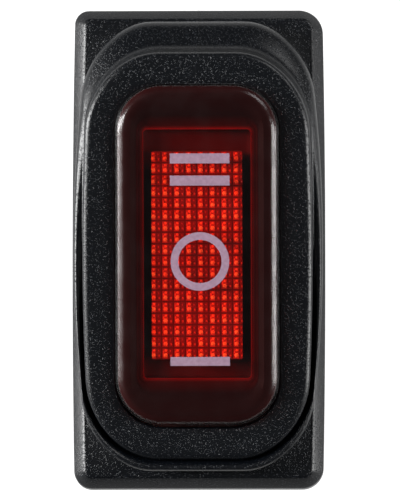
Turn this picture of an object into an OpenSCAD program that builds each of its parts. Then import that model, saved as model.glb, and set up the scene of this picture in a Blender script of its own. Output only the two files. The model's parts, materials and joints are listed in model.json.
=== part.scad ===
// Panel rocker switch: sealed, illuminated, on-off-on, snapped into a rectangular cut-out.
// Frame: the origin is the middle of the cut-out on the panel's front face. +Z points out of
// the panel, +Y towards the end marked with two bars, +X across the switch.
// The rocker is drawn pressed at its -Y end, which closes the contact at the +Y end.

/* [Panel cut-out] */
// Width of the cut-out
cutout_w = 13.0; // [12.8:0.1:15.6]
// Length of the cut-out
cutout_l = 28.6; // [27:0.1:35]
// Gap between the body and each side of the cut-out
cutout_gap = 0.15; // [0.1:0.05:0.3]
// Thinnest panel that the snap tongues hold
panel_min = 2.1; // [2.1:0.1:2.6]
// Thickest panel that the snap tongues hold
panel_max = 3.5; // [3.2:0.1:4.5]

/* [Bezel] */
// How far the bezel covers the panel beside the cut-out
bezel_over_side = 2.45; // [2.3:0.05:3.2]
// How far the bezel covers the panel past the cut-out's ends
bezel_over_end = 2.7; // [2.5:0.05:3.5]
// Height of the bezel's flat face above the panel
bezel_h = 2.6; // [2.5:0.1:2.9]
// Radius of the bezel's corners
bezel_r = 1.25; // [0.9:0.05:2]
// Width of the sloping edge round the bezel
bevel_w = 0.75; // [0.4:0.05:0.9]
// Height of the sloping edge round the bezel
bevel_h = 0.85; // [0.4:0.05:1.2]
// Thickness of the rubber skirt round the flange
skirt_wall = 0.8; // [0.6:0.05:1]
// Thickness of the gasket under the flange
gasket_t = 0.8; // [0.6:0.1:1]
// Thickness of the housing's flange
flange_t = 1.2; // [1:0.1:1.3]

/* [Rubber boot] */
// Wall of the boot
boot_wall = 0.75; // [0.6:0.05:0.85]
// Height of the outer fold above the panel
fold_h = 5.0; // [4.8:0.1:5.4]
// Outer fold set in from the bezel's edge at mid length
fold_side_in = 0.15; // [0.1:0.05:0.4]
// Outer fold set in from the bezel's ends
fold_end_in = 1.1; // [0.9:0.05:1.4]
// How much the fold's long sides bow outwards
fold_bow = 1.25; // [0.4:0.05:1.4]
// Height of the step that the lens stands in, with the rocker level
step_h = 7.0; // [6.6:0.1:7.6]
// Step set in from the outer fold at mid length
step_side_in = 0.73; // [0.6:0.01:1]
// Step set in from the outer fold at the ends
step_end_in = 1.47; // [1.35:0.01:2]
// How much the step's long sides bow outwards
step_bow = 0.5; // [0.1:0.05:0.8]

/* [Lens] */
// Face of the boot beside the lens
face_side = 2.34; // [2:0.01:2.8]
// Face of the boot past the lens's ends
face_end = 2.43; // [2:0.01:3]
// Radius of the lens's corners in plan
lens_r = 3.3; // [2:0.1:4]
// How far the lens stands out of the boot
lens_rise = 1.2; // [0.9:0.1:2]
// Rounding of the lens's upper edge
lens_edge = 0.75; // [0.4:0.05:0.85]
// Thickness of the lens over its hollow
lens_roof = 1.1; // [0.9:0.05:1.3]
// Width of the hollow in the lens
hollow_w = 7.65; // [7.2:0.05:8]
// Length of the hollow in the lens
hollow_l = 17.7; // [16:0.1:18.5]
// Width and length of one prism under the lens
prism_pitch = 0.82; // [0.7:0.02:1.2]
// Depth of the prisms
prism_d = 0.35; // [0.2:0.05:0.45]
// Prisms across the lens
prism_columns = 8; // [4:1:9]
// Prisms along the lens
prism_rows = 18; // [8:1:20]

/* [Rocker] */
// Tilt of the rocker each way from level
rocker_angle = 8.5; // [6:0.25:9]
// Height of the rocker's pivot above the panel
pivot_z = 1.0; // [0.9:0.05:1.1]
// Radius of the rocker's trunnions
trunnion_r = 1.15; // [0.9:0.05:1.2]
// Depth of the lower body below the pivot
frame_drop = 1.2; // [1.1:0.1:1.6]

/* [Contact mechanism] */
// Distance from the pivot to the plunger's tip
plunger_reach = 9.0; // [8.6:0.1:10.8]
// Radius of the plunger and of its domed tip
plunger_r = 1.22; // [1.1:0.02:1.3]
// Tilt of the contact blade each way from level
blade_angle = 10; // [8:0.5:11]
// Slope of the V in the middle of the contact blade
vee_angle = 17; // [15:0.5:19]
// Half length of the V along the blade
vee_l = 2.6; // [2.3:0.1:3]
// Thickness of the contact blade
blade_t = 0.5; // [0.4:0.05:0.6]
// Width of the contact blade
blade_w = 4.4; // [4:0.1:4.6]
// Radius of the contact buttons
button_r = 1.35; // [1:0.05:1.5]

/* [Terminals] */
// Width of a blade terminal
tab_w = 6.3; // [4.8:0.1:6.3]
// Thickness of a blade terminal
tab_t = 0.8; // [0.5:0.1:0.8]
// Length of a blade terminal below the body
tab_l = 8.2; // [6:0.1:10]
// Hole in a blade terminal
tab_hole_r = 0.85; // [0.6:0.05:1]

/* [Lamp] */
// Radius of a lamp spring
lamp_spring_r = 0.8; // [0.6:0.05:0.85]
// Turns of a lamp spring
lamp_turns = 9; // [6:1:10]
// Thickness of the lamp board
board_t = 0.8; // [0.6:0.1:1]

/* [Hidden] */
$fn = 64;

// Clearances
fit_gap = 0.05;         // running and seating gap of small moulded parts
boot_gap = 0.08;        // between the boot and the hard parts inside it
stop_gap = 0.05;        // left under the rocker frame at its stop
touch_gap = 0.03;       // between contacts that press on each other
side_gap = 0.3;         // between the rocker frame and the housing's side walls
end_gap = 1.6;          // between the rocker frame's lower body and the end walls
cut = 0.5;              // how far a cutting shape runs past what it cuts

// Colours
black_nylon = [0.10, 0.10, 0.11];
black_rubber = [0.16, 0.17, 0.18];
red_lens = [0.60, 0.05, 0.05];
tinned = [0.80, 0.78, 0.72];
copper = [0.78, 0.48, 0.30];
silver = [0.86, 0.86, 0.88];
steel = [0.62, 0.64, 0.66];
natural_acetal = [0.92, 0.91, 0.86];
board_green = [0.10, 0.38, 0.22];
resin_black = [0.07, 0.07, 0.08];

// Outlines, each [half width at the ends, half length, corner x, corner y, bow of the sides]
bezel_hx = cutout_w / 2 + bezel_over_side;
bezel_hy = cutout_l / 2 + bezel_over_end;
bezel_line = [bezel_hx, bezel_hy, bezel_r, bezel_r, 0];
fold_line = [bezel_hx - fold_side_in - fold_bow, bezel_hy - fold_end_in, 4.3, 5.2, fold_bow];
foot_bow = 0.35 * fold_bow;
foot_line = [bezel_hx - bevel_w - 0.1 - foot_bow, fold_line[1] - 0.3, 4.1, 5.0, foot_bow];
step_line = [fold_line[0] + fold_bow - step_side_in - step_bow, fold_line[1] - step_end_in,
    4.9, 5.6, step_bow];
lens_hx = step_line[0] + step_bow - face_side;
lens_hy = step_line[1] - face_end;
mouth_line = [lens_hx + fit_gap, lens_hy + fit_gap, lens_r + fit_gap, lens_r + fit_gap, 0];

// Housing
flange_z = gasket_t;
flange_top = gasket_t + flange_t;
flange_hx = bezel_hx - skirt_wall;
flange_hy = bezel_hy - skirt_wall;
body_hx = cutout_w / 2 - cutout_gap;
body_hy = cutout_l / 2 - cutout_gap;
body_r = 0.6;
foot_chamfer = 0.5;     // round the bottom of the body
rib_d = 0.12;           // how far the centring ribs stand out
rib_r = 0.5;
rib_y = 9;
barrier_y = 3.6;        // barriers between the terminals
side_wall = 1.15;
end_wall = 0.8;         // behind a snap tongue
tongue_t = 0.8;
tongue_gap = 0.5;       // room for a tongue to bend in
tongue_hx = 3.5;
tongue_slot = 0.6;      // beside a tongue
tongue_root_z = -10.2;
barb_proud = 1.2;       // how far a tongue's barb stands out
cavity_hx = body_hx - side_wall;
cavity_hy = body_hy - tongue_t - tongue_gap - end_wall;
skirt_line = [flange_hx + boot_gap, flange_hy + boot_gap, bezel_r - 0.3, bezel_r - 0.3, 0];
socket_depth = 0.85;
bead_h = 0.3;           // bead on the flange that the boot's foot grips
cheek_hy = 2.7;
cheek_top = pivot_z + trunnion_r + 0.95;

// Plunger and contact blade. The blade's V touches the domed tip at level and at full tilt.
dome_c = plunger_reach - plunger_r;
dome_gap = 0.09;        // lets the dome pass the blade's flank half way
vee_top = pivot_z - dome_c - (plunger_r + dome_gap) / cos(vee_angle);
fulcrum_z = vee_top - blade_t / cos(vee_angle);
arm_rise = vee_l * tan(vee_angle);      // underside of the arms above the fulcrum
blade_hy = cavity_hy - 1.6;
contact_y = blade_hy - 1.5;
button_h = 0.7;         // button below the blade
dome_rise = 0.35;       // the button's domed part
dome_r = (pow(button_r, 2) + pow(dome_rise, 2)) / (2 * dome_rise);
// Where the closed pair of contacts meets: the lowest point of the tilted dome
dome_centre = arm_rise - button_h + dome_r;
contact_meet_y = contact_y * cos(blade_angle) + dome_centre * sin(blade_angle);
contact_meet_z = fulcrum_z - contact_y * sin(blade_angle) + dome_centre * cos(blade_angle) - dome_r;
rivet_h = 0.5;
shelf_top = contact_meet_z - touch_gap - rivet_h;
shelf_z = shelf_top - tab_t;
terminal_y = contact_meet_y - 1.9;
shelf_end = contact_meet_y + 1.75;
floor_t = 1.6;
recess_d = 1.9;         // recess for the resin under the floor
resin_t = 1.4;
body_z = shelf_z - floor_t - recess_d;
tab_tip_z = body_z - tab_l;
lug_w = 0.9;            // lugs of the common terminal beside the blade
lug_rise = 1.1;
neck_hx = 1.35;         // half width of the blade between its notches

// Rocker frame: its rim meets the flange at the end of its travel
rim_hx = step_line[0] - boot_wall - 0.2;
rim_hy = step_line[1] - boot_wall - 0.48;
rim_r = 4.8;
rim_z = pivot_z + (flange_top + stop_gap - pivot_z + rim_hy * sin(rocker_angle))
    / cos(rocker_angle);
rim_top = step_h - boot_wall - fit_gap;
lens_flange_t = 0.65;
lens_seat = rim_top - lens_flange_t - fit_gap;
lens_lip = 0.62;        // how far the lens's flange stands out all round
lens_top = step_h + lens_rise;
hollow_top = lens_top - lens_roof;
frame_hx = cavity_hx - side_gap;
frame_hy = cavity_hy - end_gap;
frame_z = pivot_z - frame_drop;
chamber_hx = frame_hx - 0.7;
chamber_hy = frame_hy - 0.8;
trunnion_l = side_gap + socket_depth - 0.1;
trunnion_chamfer = 0.2;
chamber_z = pivot_z + 0.9;
boss_r = 2.1;
boss_z = frame_z - 3.2;
bore_r = plunger_r + fit_gap;
bore_top = pivot_z - 0.3;
ledge_h = 0.5;          // ledges under the lamp board

// Lamp
board_hx = chamber_hx - 0.1;
board_hy = chamber_hy - 0.1;
board_z = chamber_z + ledge_h;
led_y = 5.2;
lamp_x = frame_hx - 1.3;
lamp_y = frame_hy - 1.8;
lamp_pin_r = 0.4;
lamp_head_r = 0.95;
lamp_head_t = 0.35;
lamp_wire = 0.28;

// ---- helpers -------------------------------------------------------------------------

// Turns its children with the rocker, from level to pressed at the -Y end
module with_rocker() {
    translate([0, 0, pivot_z]) rotate([rocker_angle, 0, 0]) translate([0, 0, -pivot_z]) children();
}

// Turns its children with the contact blade, from level to closed at the +Y end
module with_blade() {
    translate([0, 0, fulcrum_z]) rotate([-blade_angle, 0, 0]) children();
}

// Block from z0 to z1 with half sizes hx and hy and upright edges of radius r
module block(hx, hy, r, z0, z1) {
    translate([0, 0, z0]) linear_extrude(z1 - z0) {
        square([2 * hx, 2 * (hy - r)], center = true);
        square([2 * (hx - r), 2 * hy], center = true);
        for (sx = [-1, 1], sy = [-1, 1]) translate([sx * (hx - r), sy * (hy - r)]) circle(r);
    }
}

// Box between two corners
module box(low, high) {
    translate(low) cube(high - low);
}

// Copies its children to the end at +Y (end = 1) or -Y (end = -1) by a half turn about Z
module at_end(end) {
    rotate([0, 0, end > 0 ? 0 : 180]) children();
}

// An outline drawn in by d all round
function inset(line, d) = [line[0] - d, line[1] - d, max(line[2] - d, 0.3),
    max(line[3] - d, 0.3), line[4]];

// An outline between two others
function between(a, b, t) = a * (1 - t) + b * t;

// Points of an outline, anticlockwise, the same number for every outline
corner_steps = 8;
side_steps = 10;
end_steps = 4;
function corner(line, sx, sy, from) = [for (i = [0:corner_steps])
    let (a = from + 90 * i / corner_steps)
    [sx * (line[0] - line[2]) + line[2] * cos(a), sy * (line[1] - line[3]) + line[3] * sin(a)]];
function straight(a, b, steps) = [for (i = [1:steps - 1]) a + (b - a) * i / steps];
function plain_outline(line) = let (
    c = [corner(line, 1, 1, 0), corner(line, -1, 1, 90), corner(line, -1, -1, 180),
        corner(line, 1, -1, 270)])
    concat(c[0], straight(c[0][corner_steps], c[1][0], end_steps),
        c[1], straight(c[1][corner_steps], c[2][0], side_steps),
        c[2], straight(c[2][corner_steps], c[3][0], end_steps),
        c[3], straight(c[3][corner_steps], c[0][0], side_steps));
function outline(line) = [for (p = plain_outline(line))
    [p[0] * (1 + line[4] * (1 - pow(p[1] / line[1], 2)) / line[0]), p[1]]];

// A point of the rocker or boot, moved by the share f of the rocker's tilt
function follow(p, f) = let (
    dz = p[2] - pivot_z,
    full = [p[0], p[1] * cos(rocker_angle) - dz * sin(rocker_angle),
        pivot_z + p[1] * sin(rocker_angle) + dz * cos(rocker_angle)])
    p * (1 - f) + full * f;

// Closed skin through rings of equal length, the last ring joined to the first
module ring_skin(rings) {
    n = len(rings[0]);
    m = len(rings);
    polyhedron([for (ring = rings) for (p = ring) p],
        [for (i = [0:m - 1], k = [0:n - 1])
            let (j = (i + 1) % m, l = (k + 1) % n)
            each [[i * n + k, j * n + k, j * n + l], [i * n + k, j * n + l, i * n + l]]],
        convexity = 10);
}

// Coil spring of round wire from point a to point b, which lies above it
module coil(a, b, r, wire_r, turns, per_turn = 10, sides = 6) {
    steps = turns * per_turn;
    pitch_rise = (b[2] - a[2] - 2 * wire_r) / turns;
    slope = atan(pitch_rise / (2 * PI * r));
    rings = [for (i = [0:steps])
        let (t = i / steps, turn = 360 * turns * t, c = a + (b - a) * t,
            z = a[2] + wire_r + (b[2] - a[2] - 2 * wire_r) * t)
        [for (j = [0:sides - 1])
            let (w = 360 * j / sides, out = r + wire_r * cos(w), up = wire_r * sin(w))
            [c[0] + out * cos(turn) + up * sin(slope) * sin(turn),
                c[1] + out * sin(turn) - up * sin(slope) * cos(turn),
                z + up * cos(slope)]]];
    polyhedron([for (ring = rings) for (p = ring) p],
        concat([[for (j = [0:sides - 1]) j]],
            [for (i = [0:steps - 1], j = [0:sides - 1])
                let (l = (j + 1) % sides, a = i * sides, b = a + sides)
                each [[a + j, b + j, b + l], [a + j, b + l, a + l]]],
            [[for (j = [sides - 1:-1:0]) steps * sides + j]]),
        convexity = 10);
}

// ---- fixed parts ---------------------------------------------------------------------

// Profile of a snap tongue's barb, seen from the side: out from the tongue and up
module barb_profile() {
    polygon([[-0.1, -8.6], [0, -8.6], [barb_proud, -panel_max - 0.35],
        [barb_proud, -panel_max], [0, -panel_min], [-0.1, -panel_min]]);
}

// Snap tongue at the +Y end: bends in as the switch is pushed through the cut-out
module snap_tongue() {
    box([-tongue_hx, body_hy - tongue_t, tongue_root_z - cut], [tongue_hx, body_hy, -0.9]);
    translate([-tongue_hx + 0.4, body_hy, 0]) rotate([90, 0, 90])
        linear_extrude(2 * tongue_hx - 0.8) barb_profile();
}

// Pocket in the end wall that a tongue bends into
module tongue_pocket() {
    box([-tongue_hx - tongue_slot, body_hy - tongue_t - tongue_gap, tongue_root_z],
        [tongue_hx + tongue_slot, body_hy + cut, -0.3]);
}

// Cheek that carries a trunnion above the flange, on the +X side
module cheek() {
    box([cavity_hx, -cheek_hy, flange_z], [body_hx, cheek_hy, pivot_z]);
    translate([cavity_hx, 0, pivot_z]) rotate([0, 90, 0])
        cylinder(r = cheek_top - pivot_z, h = body_hx - cavity_hx);
}

// Socket and the groove that leads a trunnion down to it, on the +X side
module trunnion_socket() {
    translate([cavity_hx - cut, 0, pivot_z]) rotate([0, 90, 0])
        cylinder(r = trunnion_r + fit_gap, h = socket_depth + cut);
    groove_d = socket_depth - 0.45;
    translate([cavity_hx - cut, -trunnion_r * 0.8, pivot_z])
        cube([groove_d + cut, trunnion_r * 1.6, cheek_top - pivot_z + cut]);
}

// Section of the body, half width h, with chamfered lower corners. It runs past the body by cut.
module body_section(h) {
    low = body_z - cut;
    in = foot_chamfer + cut;
    polygon([[-h + in, low], [h - in, low], [h + cut, body_z + in], [h + cut, flange_top],
        [-h - cut, flange_top], [-h - cut, body_z + in]]);
}

// Body below the flange, chamfered all round so that it finds its way into the cut-out
module body_block() {
    intersection() {
        block(body_hx, body_hy, body_r, body_z, flange_top - 0.2);
        rotate([90, 0, 0]) translate([0, 0, -body_hy - cut])
            linear_extrude(2 * (body_hy + cut)) body_section(body_hx);
        rotate([90, 0, 90]) translate([0, 0, -body_hx - cut])
            linear_extrude(2 * (body_hx + cut)) body_section(body_hy);
    }
}

module housing() {
    color(black_nylon) difference() {
        union() {
            body_block();
            block(flange_hx, flange_hy, bezel_r - 0.4, flange_z, flange_top);
            for (sx = [0, 180]) rotate([0, 0, sx]) cheek();
            // ribs that centre the body in the cut-out
            for (sx = [-1, 1], sy = [-1, 1])
                translate([sx * (body_hx + rib_d - rib_r), sy * rib_y, body_z + 3])
                    cylinder(r = rib_r, h = -body_z - 3.5);
        }
        for (end = [-1, 1]) at_end(end) tongue_pocket();
        block(cavity_hx, cavity_hy, 0.4, shelf_z, flange_top + cut);
        for (sx = [0, 180]) rotate([0, 0, sx]) trunnion_socket();
        // recess for the resin, slots for the terminals, pockets under the contact rivets
        block(body_hx - 1.1, body_hy - 1.9, 0.5, body_z - cut, body_z + recess_d);
        for (y = [-terminal_y, 0, terminal_y])
            box([-tab_w / 2 - fit_gap, y - tab_t / 2 - fit_gap, body_z],
                [tab_w / 2 + fit_gap, y + tab_t / 2 + fit_gap, shelf_z + cut]);
        for (y = [-contact_meet_y, contact_meet_y])
            translate([0, y, shelf_z - 0.4]) cylinder(r = 1.2, h = 0.4 + cut);
    }
    color(black_nylon) {
        for (end = [-1, 1]) at_end(end) snap_tongue();
        // barriers across the floor between the terminals
        for (y = [-barrier_y, barrier_y])
            box([-cavity_hx - 0.1, y - 0.4, shelf_z - 0.1], [cavity_hx + 0.1, y + 0.4, shelf_z + 1.6]);
        // bead that the boot's foot grips
        difference() {
            bead_in = boot_wall + boot_gap;
            block(foot_line[0] - bead_in, foot_line[1] - bead_in, 4.6,
                flange_top - 0.1, flange_top + bead_h);
            block(foot_line[0] - bead_in - 0.5, foot_line[1] - bead_in - 0.5, 4.1,
                flange_top - cut, flange_top + 1);
        }
    }
}

module panel_gasket() {
    color(black_rubber) difference() {
        block(flange_hx - boot_gap, flange_hy - boot_gap, bezel_r - 0.45, 0, gasket_t);
        block(body_hx + rib_d + fit_gap, body_hy + rib_d + fit_gap, 0.65, -cut, gasket_t + cut);
    }
}

// Rows of the boot's skin: [outline, height, share of the rocker's tilt]
boot_rows = [
    [bezel_line, fit_gap, 0],
    [bezel_line, bezel_h - bevel_h, 0],
    [inset(bezel_line, bevel_w), bezel_h, 0],
    [foot_line, bezel_h, 0],
    [fold_line, fold_h - 0.6, 0],
    [inset(fold_line, 0.1), fold_h - 0.2, 0.03],
    [between(fold_line, step_line, 0.27), fold_h, 0.05],
    [between(fold_line, step_line, 0.48), fold_h - 0.2, 0.1],
    [between(fold_line, step_line, 0.65), fold_h - 0.4, 0.3],
    [step_line, fold_h, 0.6],
    [step_line, step_h - 0.45, 1],
    [inset(step_line, 0.13), step_h - 0.13, 1],
    [inset(step_line, 0.45), step_h, 1],
    [inset(mouth_line, -0.2), step_h, 1],
    [mouth_line, step_h - 0.2, 1],
    [mouth_line, step_h - boot_wall, 1],
    [inset(step_line, boot_wall), step_h - boot_wall, 1],
    [inset(step_line, boot_wall), fold_h - 0.1, 0.6],
    [inset(between(foot_line, step_line, 0.5), boot_wall - 0.07), fold_h - 1, 0.3],
    [inset(foot_line, boot_wall - 0.2), fold_h - 1.6, 0.03],
    [inset(foot_line, boot_wall), flange_top + boot_gap, 0],
    [skirt_line, flange_top + boot_gap, 0],
    [skirt_line, fit_gap, 0]];

module rubber_boot() {
    color(black_rubber) ring_skin([for (row = boot_rows)
        [for (p = outline(row[0])) follow([p[0], p[1], row[1]], row[2])]]);
}

// Resin poured round the terminals into the recess under the floor
module base_seal() {
    color(resin_black) difference() {
        block(body_hx - 1.1, body_hy - 1.9, 0.5, body_z + recess_d - resin_t, body_z + recess_d);
        for (y = [-terminal_y, 0, terminal_y])
            box([-tab_w / 2, y - tab_t / 2, body_z - cut], [tab_w / 2, y + tab_t / 2, shelf_z]);
    }
}

// Blade of a terminal in the plane y = 0, with a pointed tip and a hole
module tab(top) {
    point = 1.0;
    translate([0, tab_t / 2, 0]) rotate([90, 0, 0]) difference() {
        linear_extrude(tab_t) polygon([[-tab_w / 2, top], [-tab_w / 2, tab_tip_z + point],
            [-tab_w / 2 + point, tab_tip_z], [tab_w / 2 - point, tab_tip_z],
            [tab_w / 2, tab_tip_z + point], [tab_w / 2, top]]);
        translate([0, tab_tip_z + 3, -cut]) cylinder(r = tab_hole_r, h = tab_t + 2 * cut);
    }
}

module terminal_common() {
    seat_z = fulcrum_z - touch_gap;
    lug_x = neck_hx + fit_gap;
    color(tinned) {
        tab(shelf_z);
        box([-lug_x - lug_w, -tab_t / 2, shelf_z - 0.1], [lug_x + lug_w, tab_t / 2, seat_z]);
        for (sx = [0, 180]) rotate([0, 0, sx])
            box([lug_x, -tab_t / 2, seat_z - 0.1], [lug_x + lug_w, tab_t / 2, seat_z + lug_rise]);
    }
}

// Load terminal at the +Y end: a tab bent outwards into a shelf, with an ear for a lamp spring
module load_terminal() {
    ear_hy = 1.1;
    color(tinned) difference() {
        union() {
            translate([0, terminal_y, 0]) tab(shelf_z + tab_t / 2);
            box([-tab_w / 2, terminal_y - tab_t / 2, shelf_z], [tab_w / 2, shelf_end, shelf_top]);
            box([0, lamp_y - ear_hy, shelf_z], [lamp_x + ear_hy, lamp_y + ear_hy, shelf_top]);
        }
        translate([0, contact_meet_y, shelf_z - cut]) cylinder(r = 0.8, h = tab_t + 2 * cut);
    }
}

// Contact rivet in a load terminal's shelf at the +Y end
module fixed_contact() {
    color(silver) translate([0, contact_meet_y, 0]) {
        translate([0, 0, shelf_z - 0.2]) cylinder(r = 0.78, h = tab_t + 0.3);
        translate([0, 0, shelf_z - 0.2]) cylinder(r = 1.0, h = 0.18);
        translate([0, 0, shelf_top]) cylinder(r = button_r, h = rivet_h);
    }
}

// ---- rocker --------------------------------------------------------------------------

// Coil between a load terminal's ear at the +Y end and the lamp contact above it
module lamp_spring(end) {
    seat = follow([end * lamp_x, end * lamp_y, frame_z - lamp_head_t], 1);
    color(steel) coil([end * lamp_x, end * lamp_y, shelf_top + 0.02],
        [seat[0], seat[1], seat[2] - 0.18], lamp_spring_r - lamp_wire / 2, lamp_wire / 2, lamp_turns);
}

module rocker_frame() {
    color(black_nylon) with_rocker() difference() {
        union() {
            block(rim_hx, rim_hy, rim_r, rim_z, rim_top);
            block(frame_hx, frame_hy, 0.8, frame_z, rim_z + 0.1);
            translate([0, 0, boss_z]) cylinder(r = boss_r, h = frame_z - boss_z + 0.1);
            for (sx = [0, 180]) rotate([0, 0, sx]) translate([frame_hx - 0.1, 0, pivot_z])
                rotate([0, 90, 0]) {
                    cylinder(r = trunnion_r, h = trunnion_l + 0.1 - trunnion_chamfer);
                    translate([0, 0, trunnion_l + 0.1 - trunnion_chamfer])
                        cylinder(r1 = trunnion_r, r2 = trunnion_r - trunnion_chamfer, h = trunnion_chamfer);
                }
        }
        // seat of the lens, lamp chamber and the slots that lighten the rim
        block(lens_hx + lens_lip + fit_gap, lens_hy + lens_lip + fit_gap, lens_r + lens_lip,
            lens_seat, rim_top + cut);
        block(chamber_hx, chamber_hy, 0.5, chamber_z, lens_seat + cut);
        translate([0, 0, boss_z - cut]) cylinder(r = bore_r, h = bore_top - boss_z + cut);
        for (s = [-1, 1]) translate([s * lamp_x, s * lamp_y, frame_z - cut])
            cylinder(r = lamp_pin_r + fit_gap, h = chamber_z - frame_z + 2 * cut);
    }
    // ledges that carry the lamp board
    color(black_nylon) with_rocker() for (end = [-1, 1]) at_end(end)
        box([-2.2, chamber_hy - 0.9, chamber_z - 0.1], [2.2, chamber_hy + 0.1, board_z]);
}

// Upright slab whose upper edge is rounded all the way round
module rounded_slab(hx, hy, r, z0, z1, edge) {
    module side(reach) {
        square([reach, z1 - z0 - edge]);
        square([reach - edge, z1 - z0]);
        translate([reach - edge, z1 - z0 - edge]) circle(edge);
    }
    translate([0, 0, z0]) {
        for (k = [0:3]) {
            sx = k == 0 || k == 3 ? 1 : -1;
            sy = k < 2 ? 1 : -1;
            translate([sx * (hx - r), sy * (hy - r), 0]) rotate([0, 0, 90 * k])
                rotate_extrude(angle = 90) intersection() {
                    side(r);
                    square([r, z1 - z0]);
                }
        }
        for (turn = [0, 180]) rotate([0, 0, turn]) {
            translate([hx - r, hy - r, 0]) rotate([90, 0, 0])
                linear_extrude(2 * (hy - r)) intersection() {
                    side(r);
                    square([r, z1 - z0]);
                }
            translate([-(hx - r), hy - r, 0]) rotate([90, 0, 90])
                linear_extrude(2 * (hx - r)) intersection() {
                    side(r);
                    square([r, z1 - z0]);
                }
        }
        translate([-(hx - r), -(hy - r), 0]) cube([2 * (hx - r), 2 * (hy - r), z1 - z0]);
    }
}

// Field of four-sided prisms, points down, hanging from the plane z = top
module prism_field(top) {
    hx = prism_columns * prism_pitch / 2;
    hy = prism_rows * prism_pitch / 2;
    // one V groove, point up, cut along X or Y
    module vee(length) {
        rotate([90, 0, 0]) translate([0, 0, -length / 2]) linear_extrude(length)
            polygon([[-prism_pitch / 2, -cut], [-prism_pitch / 2, 0], [0, prism_d],
                [prism_pitch / 2, 0], [prism_pitch / 2, -cut]]);
    }
    difference() {
        box([-hx, -hy, top - prism_d], [hx, hy, top + 0.1]);
        for (i = [0:prism_columns]) translate([-hx + i * prism_pitch, 0, top - prism_d])
            vee(2 * hy + 2);
        for (j = [0:prism_rows]) translate([0, -hy + j * prism_pitch, top - prism_d])
            rotate([0, 0, 90]) vee(2 * hx + 2);
    }
}

module lens() {
    color(red_lens) with_rocker() {
        difference() {
            union() {
                rounded_slab(lens_hx, lens_hy, lens_r, lens_seat, lens_top, lens_edge);
                block(lens_hx + lens_lip, lens_hy + lens_lip, lens_r + lens_lip - 0.05,
                    lens_seat, lens_seat + lens_flange_t);
            }
            block(hollow_w / 2, hollow_l / 2, 0.3, lens_seat - cut, hollow_top);
        }
        prism_field(hollow_top);
    }
}

// ---- lamp ----------------------------------------------------------------------------

module lamp_board() {
    color(board_green) with_rocker() difference() {
        block(board_hx, board_hy, 0.4, board_z, board_z + board_t);
        for (s = [-1, 1]) translate([s * lamp_x, s * lamp_y, board_z - cut])
            cylinder(r = lamp_pin_r + 0.02, h = board_t + 2 * cut);
    }
}

// Surface-mounted lamp at the +Y end: a white case with a domed window
module lamp_led() {
    top = board_z + board_t;
    color(natural_acetal) {
        box([-1.4, led_y - 1.75, top], [1.4, led_y + 1.75, top + 0.9]);
        translate([0, led_y, top + 0.8]) cylinder(r1 = 1.1, r2 = 0.7, h = 0.4);
    }
}

module lamp_resistor() {
    top = board_z + board_t;
    color(steel) with_rocker() box([-1.6, -0.8, top], [1.6, 0.8, top + 0.55]);
}

// Headed pin at the +Y end, soldered in the board, whose head a lamp spring presses on
module lamp_contact() {
    color(tinned) translate([lamp_x, lamp_y, 0]) {
        translate([0, 0, frame_z - lamp_head_t]) cylinder(r = lamp_head_r, h = lamp_head_t);
        translate([0, 0, frame_z - 0.1]) cylinder(r = lamp_pin_r, h = board_z + board_t + 0.4 - frame_z);
    }
}

// ---- contact mechanism ---------------------------------------------------------------

pocket_r = 0.85;        // hollow of the plunger
plunger_top = boss_z + 1.9;
pocket_z = pivot_z - plunger_reach + 2.0;

module plunger() {
    color(natural_acetal) with_rocker() difference() {
        union() {
            translate([0, 0, pivot_z - dome_c]) sphere(r = plunger_r);
            translate([0, 0, pivot_z - dome_c]) cylinder(r = plunger_r, h = plunger_top - pivot_z + dome_c);
        }
        translate([0, 0, pocket_z]) cylinder(r = pocket_r, h = plunger_top - pocket_z + cut);
    }
}

module plunger_spring() {
    wire = 0.26;
    color(steel) with_rocker() coil([0, 0, pocket_z + 0.02], [0, 0, bore_top - 0.02],
        pocket_r - 0.05 - wire / 2, wire / 2, 8);
}

// Side view of the blade in its own frame: the V's point rests on the fulcrum at the origin
module blade_profile() {
    t_up = blade_t / cos(vee_angle);
    rise = arm_rise;
    polygon([[0, 0], [vee_l, rise], [blade_hy, rise], [blade_hy, rise + blade_t],
        [vee_l - (t_up - blade_t) / tan(vee_angle), rise + blade_t], [0, t_up],
        [-vee_l + (t_up - blade_t) / tan(vee_angle), rise + blade_t], [-blade_hy, rise + blade_t],
        [-blade_hy, rise], [-vee_l, rise]]);
}

module contact_blade() {
    notch_hy = tab_t / 2 + 0.35;
    color(copper) with_blade() difference() {
        translate([-blade_w / 2, 0, 0]) rotate([90, 0, 90]) linear_extrude(blade_w) blade_profile();
        for (sx = [0, 180]) rotate([0, 0, sx])
            box([neck_hx, -notch_hy, -1], [blade_w, notch_hy, 2]);
        for (y = [-contact_y, contact_y])
            translate([0, y, arm_rise - cut]) cylinder(r = 0.7, h = blade_t + 2 * cut);
    }
}

// Domed contact riveted through the blade at the +Y end
module contact_button() {
    color(silver) translate([0, contact_y, arm_rise]) {
        translate([0, 0, -button_h + dome_rise]) cylinder(r = button_r, h = button_h - dome_rise);
        intersection() {
            translate([0, 0, -button_h + dome_r]) sphere(r = dome_r);
            translate([0, 0, -button_h - cut]) cylinder(r = button_r, h = cut + dome_rise + 0.05);
        }
        translate([0, 0, -0.1]) cylinder(r = 0.68, h = blade_t + 0.2);
        translate([0, 0, blade_t]) cylinder(r = 1.0, h = 0.2);
    }
}

// ---- nodes ---------------------------------------------------------------------------

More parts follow.
